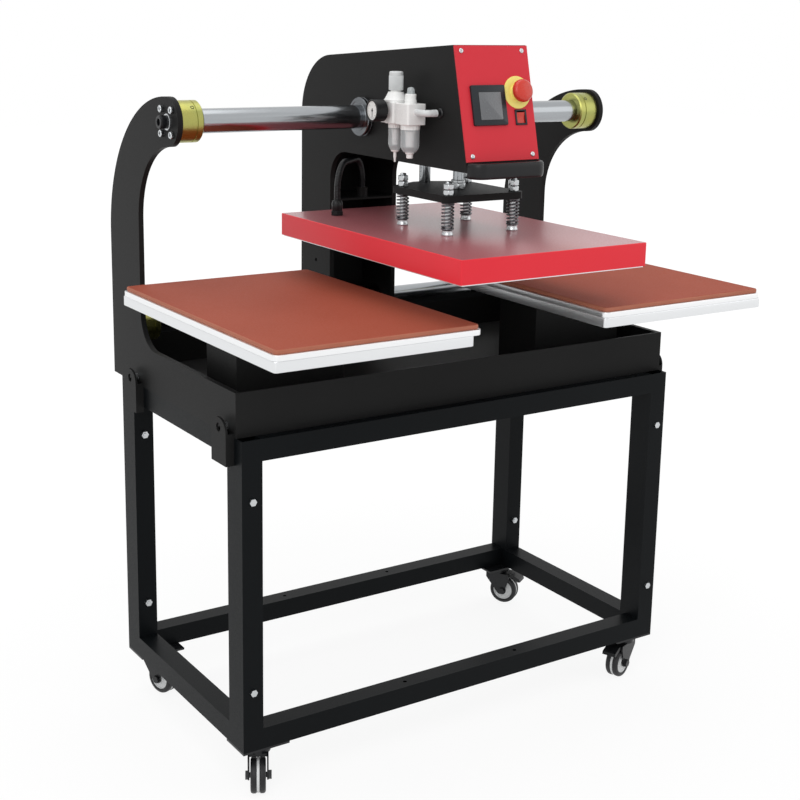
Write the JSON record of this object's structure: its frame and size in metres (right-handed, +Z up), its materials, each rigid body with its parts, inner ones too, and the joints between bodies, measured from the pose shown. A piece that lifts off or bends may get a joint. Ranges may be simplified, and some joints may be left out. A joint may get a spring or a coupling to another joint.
{
  "type": "heat press",
  "caption": "Pneumatic heat press with a sliding head over two lower platens, on a wheeled tubular stand.",
  "frame": {"origin": "on the floor, under the middle of the machine's box", "axes": "+Z up, X along the two shafts with +X to the operator's right, -Y towards the operator"},
  "size_m": [1.074, 0.788, 1.342],
  "materials": {
    "black_powder": "fine textured black powder coat",
    "stand_powder": "smooth blue-black powder coat",
    "red_powder": "glossy red powder coat",
    "chromed_steel": "ground and chromed",
    "yellow_zinc": "yellow zinc plated, turned",
    "zinc_steel": "bright zinc plated",
    "black_zinc": "black, satin",
    "spring_steel": "bright spring wire",
    "cast_aluminium": "cast and machined, matt",
    "milled_aluminium": "milled, satin",
    "silicone_foam": "soft silicone sponge, matt",
    "tread_rubber": "dark tread on a pale hub",
    "black_plastic": "satin black",
    "grey_plastic": "ribbed grey",
    "white_plastic": "white painted die casting",
    "clear_plastic": "clear polycarbonate",
    "yellow_plastic": "yellow",
    "red_plastic": "glossy red",
    "black_rubber": "flexible conduit, satin"
  },
  "bodies": {
    "base": {"base_tray": "black_powder", "side_arm_left": "black_powder", "side_arm_right": "black_powder", "upper_shaft": "chromed_steel", "lower_shaft": "chromed_steel", "shaft_flanges": "yellow_zinc", "arm_bolts": "zinc_steel", "platen_pedestals": "black_powder", "lower_platen_bases": "cast_aluminium", "lower_platen_plates": "milled_aluminium", "lower_platen_pads": "silicone_foam", "cart_front_frame": "stand_powder", "cart_rear_frame": "stand_powder", "cart_side_frame_left": "stand_powder", "cart_side_frame_right": "stand_powder", "tray_lugs": "black_powder", "cart_bolts": "zinc_steel", "caster_plates": "black_zinc"},
    "carriage": {"cheek_left": "black_powder", "cheek_right": "black_powder", "rear_cover": "black_powder", "top_cover": "black_powder", "front_panel": "red_powder", "panel_screws": "zinc_steel", "touch_screen": "black_plastic", "estop_base": "yellow_plastic", "power_switch_bezel": "black_plastic", "front_handle": "black_plastic", "upper_bearing_housing": "chromed_steel", "lower_bearing_housing": "chromed_steel", "cylinder_mount_plate": "black_powder", "air_cylinder": "milled_aluminium", "frl_body": "white_plastic", "frl_bowls": "clear_plastic", "gauge_case": "black_plastic", "air_outlet_fitting": "black_plastic", "conduit_shelf": "black_powder", "conduit": "black_rubber"},
    "press_head": {"piston_rod": "chromed_steel", "guide_rod": "chromed_steel", "spider_plate": "black_powder"},
    "heat_platen": {"heat_platen_cover": "red_powder", "heating_plate": "cast_aluminium", "platen_posts": "zinc_steel", "platen_gland": "black_plastic", "platen_springs": "spring_steel"},
    "estop_knob": {"estop_button": "red_plastic"},
    "power_key": {"power_rocker": "red_plastic"},
    "regulator": {"regulator_knob": "grey_plastic"},
    "gauge_pointer": {"gauge_needle": "black_plastic"},
    "caster_fl": {"caster_fork_fl": "black_zinc"},
    "wheel_fl": {"caster_wheel_fl": "tread_rubber"},
    "caster_fr": {"caster_fork_fr": "black_zinc"},
    "wheel_fr": {"caster_wheel_fr": "tread_rubber"},
    "brake_fr": {"brake_pedal_fr": "black_plastic"},
    "caster_rl": {"caster_fork_rl": "black_zinc"},
    "wheel_rl": {"caster_wheel_rl": "tread_rubber"},
    "caster_rr": {"caster_fork_rr": "black_zinc"},
    "wheel_rr": {"caster_wheel_rr": "tread_rubber"},
    "brake_rr": {"brake_pedal_rr": "black_plastic"}
  },
  "joints": [
    {"name": "carriage_slide", "type": "slide", "parent": "base", "child": "carriage", "axis": [1, 0, 0], "range_m": [-0.337, 0.337]},
    {"name": "press_slide", "type": "slide", "parent": "carriage", "child": "press_head", "axis": [0, 0, -1], "range_m": [0, 0.074], "deforming": ["conduit"]},
    {"name": "platen_float", "type": "slide", "parent": "press_head", "child": "heat_platen", "axis": [0, 0, 1], "range_m": [0, 0.008], "stiffness_N_per_m": 24000, "springref_m": -0.005, "deforming": ["platen_springs"]},
    {"name": "estop_push", "type": "slide", "parent": "carriage", "child": "estop_knob", "axis": [0, 0.9722, -0.2342], "range_m": [0, 0.004], "stiffness_N_per_m": 2500, "springref_m": -0.001},
    {"name": "power_rock", "type": "hinge", "parent": "carriage", "child": "power_key", "pos_m": [0.049, -0.20866, 1.21461], "axis": [1, 0, 0], "range_deg": [-18, 0]},
    {"name": "regulator_turn", "type": "hinge", "parent": "carriage", "child": "regulator", "pos_m": [-0.112, -0.047, 1.27], "axis": [0, 0, 1], "range_deg": [-720, 720]},
    {"name": "gauge_turn", "type": "hinge", "parent": "carriage", "child": "gauge_pointer", "pos_m": [-0.1645, -0.047, 1.221], "axis": [-1, 0, 0], "range_deg": [0, 270]},
    {"name": "swivel_fl", "type": "hinge", "parent": "base", "child": "caster_fl", "pos_m": [-0.4455, -0.1335, 0.08], "axis": [0, 0, 1], "continuous": true},
    {"name": "roll_fl", "type": "hinge", "parent": "caster_fl", "child": "wheel_fl", "pos_m": [-0.45489, -0.15116, 0.0325], "axis": [0.8829, -0.4695, 0], "continuous": true},
    {"name": "swivel_fr", "type": "hinge", "parent": "base", "child": "caster_fr", "pos_m": [0.4455, -0.1335, 0.08], "axis": [0, 0, 1], "continuous": true},
    {"name": "roll_fr", "type": "hinge", "parent": "caster_fr", "child": "wheel_fr", "pos_m": [0.42671, -0.14034, 0.0325], "axis": [0.342, -0.9397, 0], "continuous": true},
    {"name": "brake_fr_press", "type": "hinge", "parent": "caster_fr", "child": "brake_fr", "pos_m": [0.41731, -0.14376, 0.071], "axis": [0.342, -0.9397, 0], "range_deg": [0, 12]},
    {"name": "swivel_rl", "type": "hinge", "parent": "base", "child": "caster_rl", "pos_m": [-0.4455, 0.3205, 0.08], "axis": [0, 0, 1], "continuous": true},
    {"name": "roll_rl", "type": "hinge", "parent": "caster_rl", "child": "wheel_rl", "pos_m": [-0.43965, 0.30137, 0.0325], "axis": [0.9563, 0.2924, 0], "continuous": true},
    {"name": "swivel_rr", "type": "hinge", "parent": "base", "child": "caster_rr", "pos_m": [0.4455, 0.3205, 0.08], "axis": [0, 0, 1], "continuous": true},
    {"name": "roll_rr", "type": "hinge", "parent": "caster_rr", "child": "wheel_rr", "pos_m": [0.45639, 0.30373, 0.0325], "axis": [0.8387, 0.5446, 0], "continuous": true},
    {"name": "brake_rr_press", "type": "hinge", "parent": "caster_rr", "child": "brake_rr", "pos_m": [0.46184, 0.29534, 0.071], "axis": [0.8387, 0.5446, 0], "range_deg": [0, 12]}
  ]
}
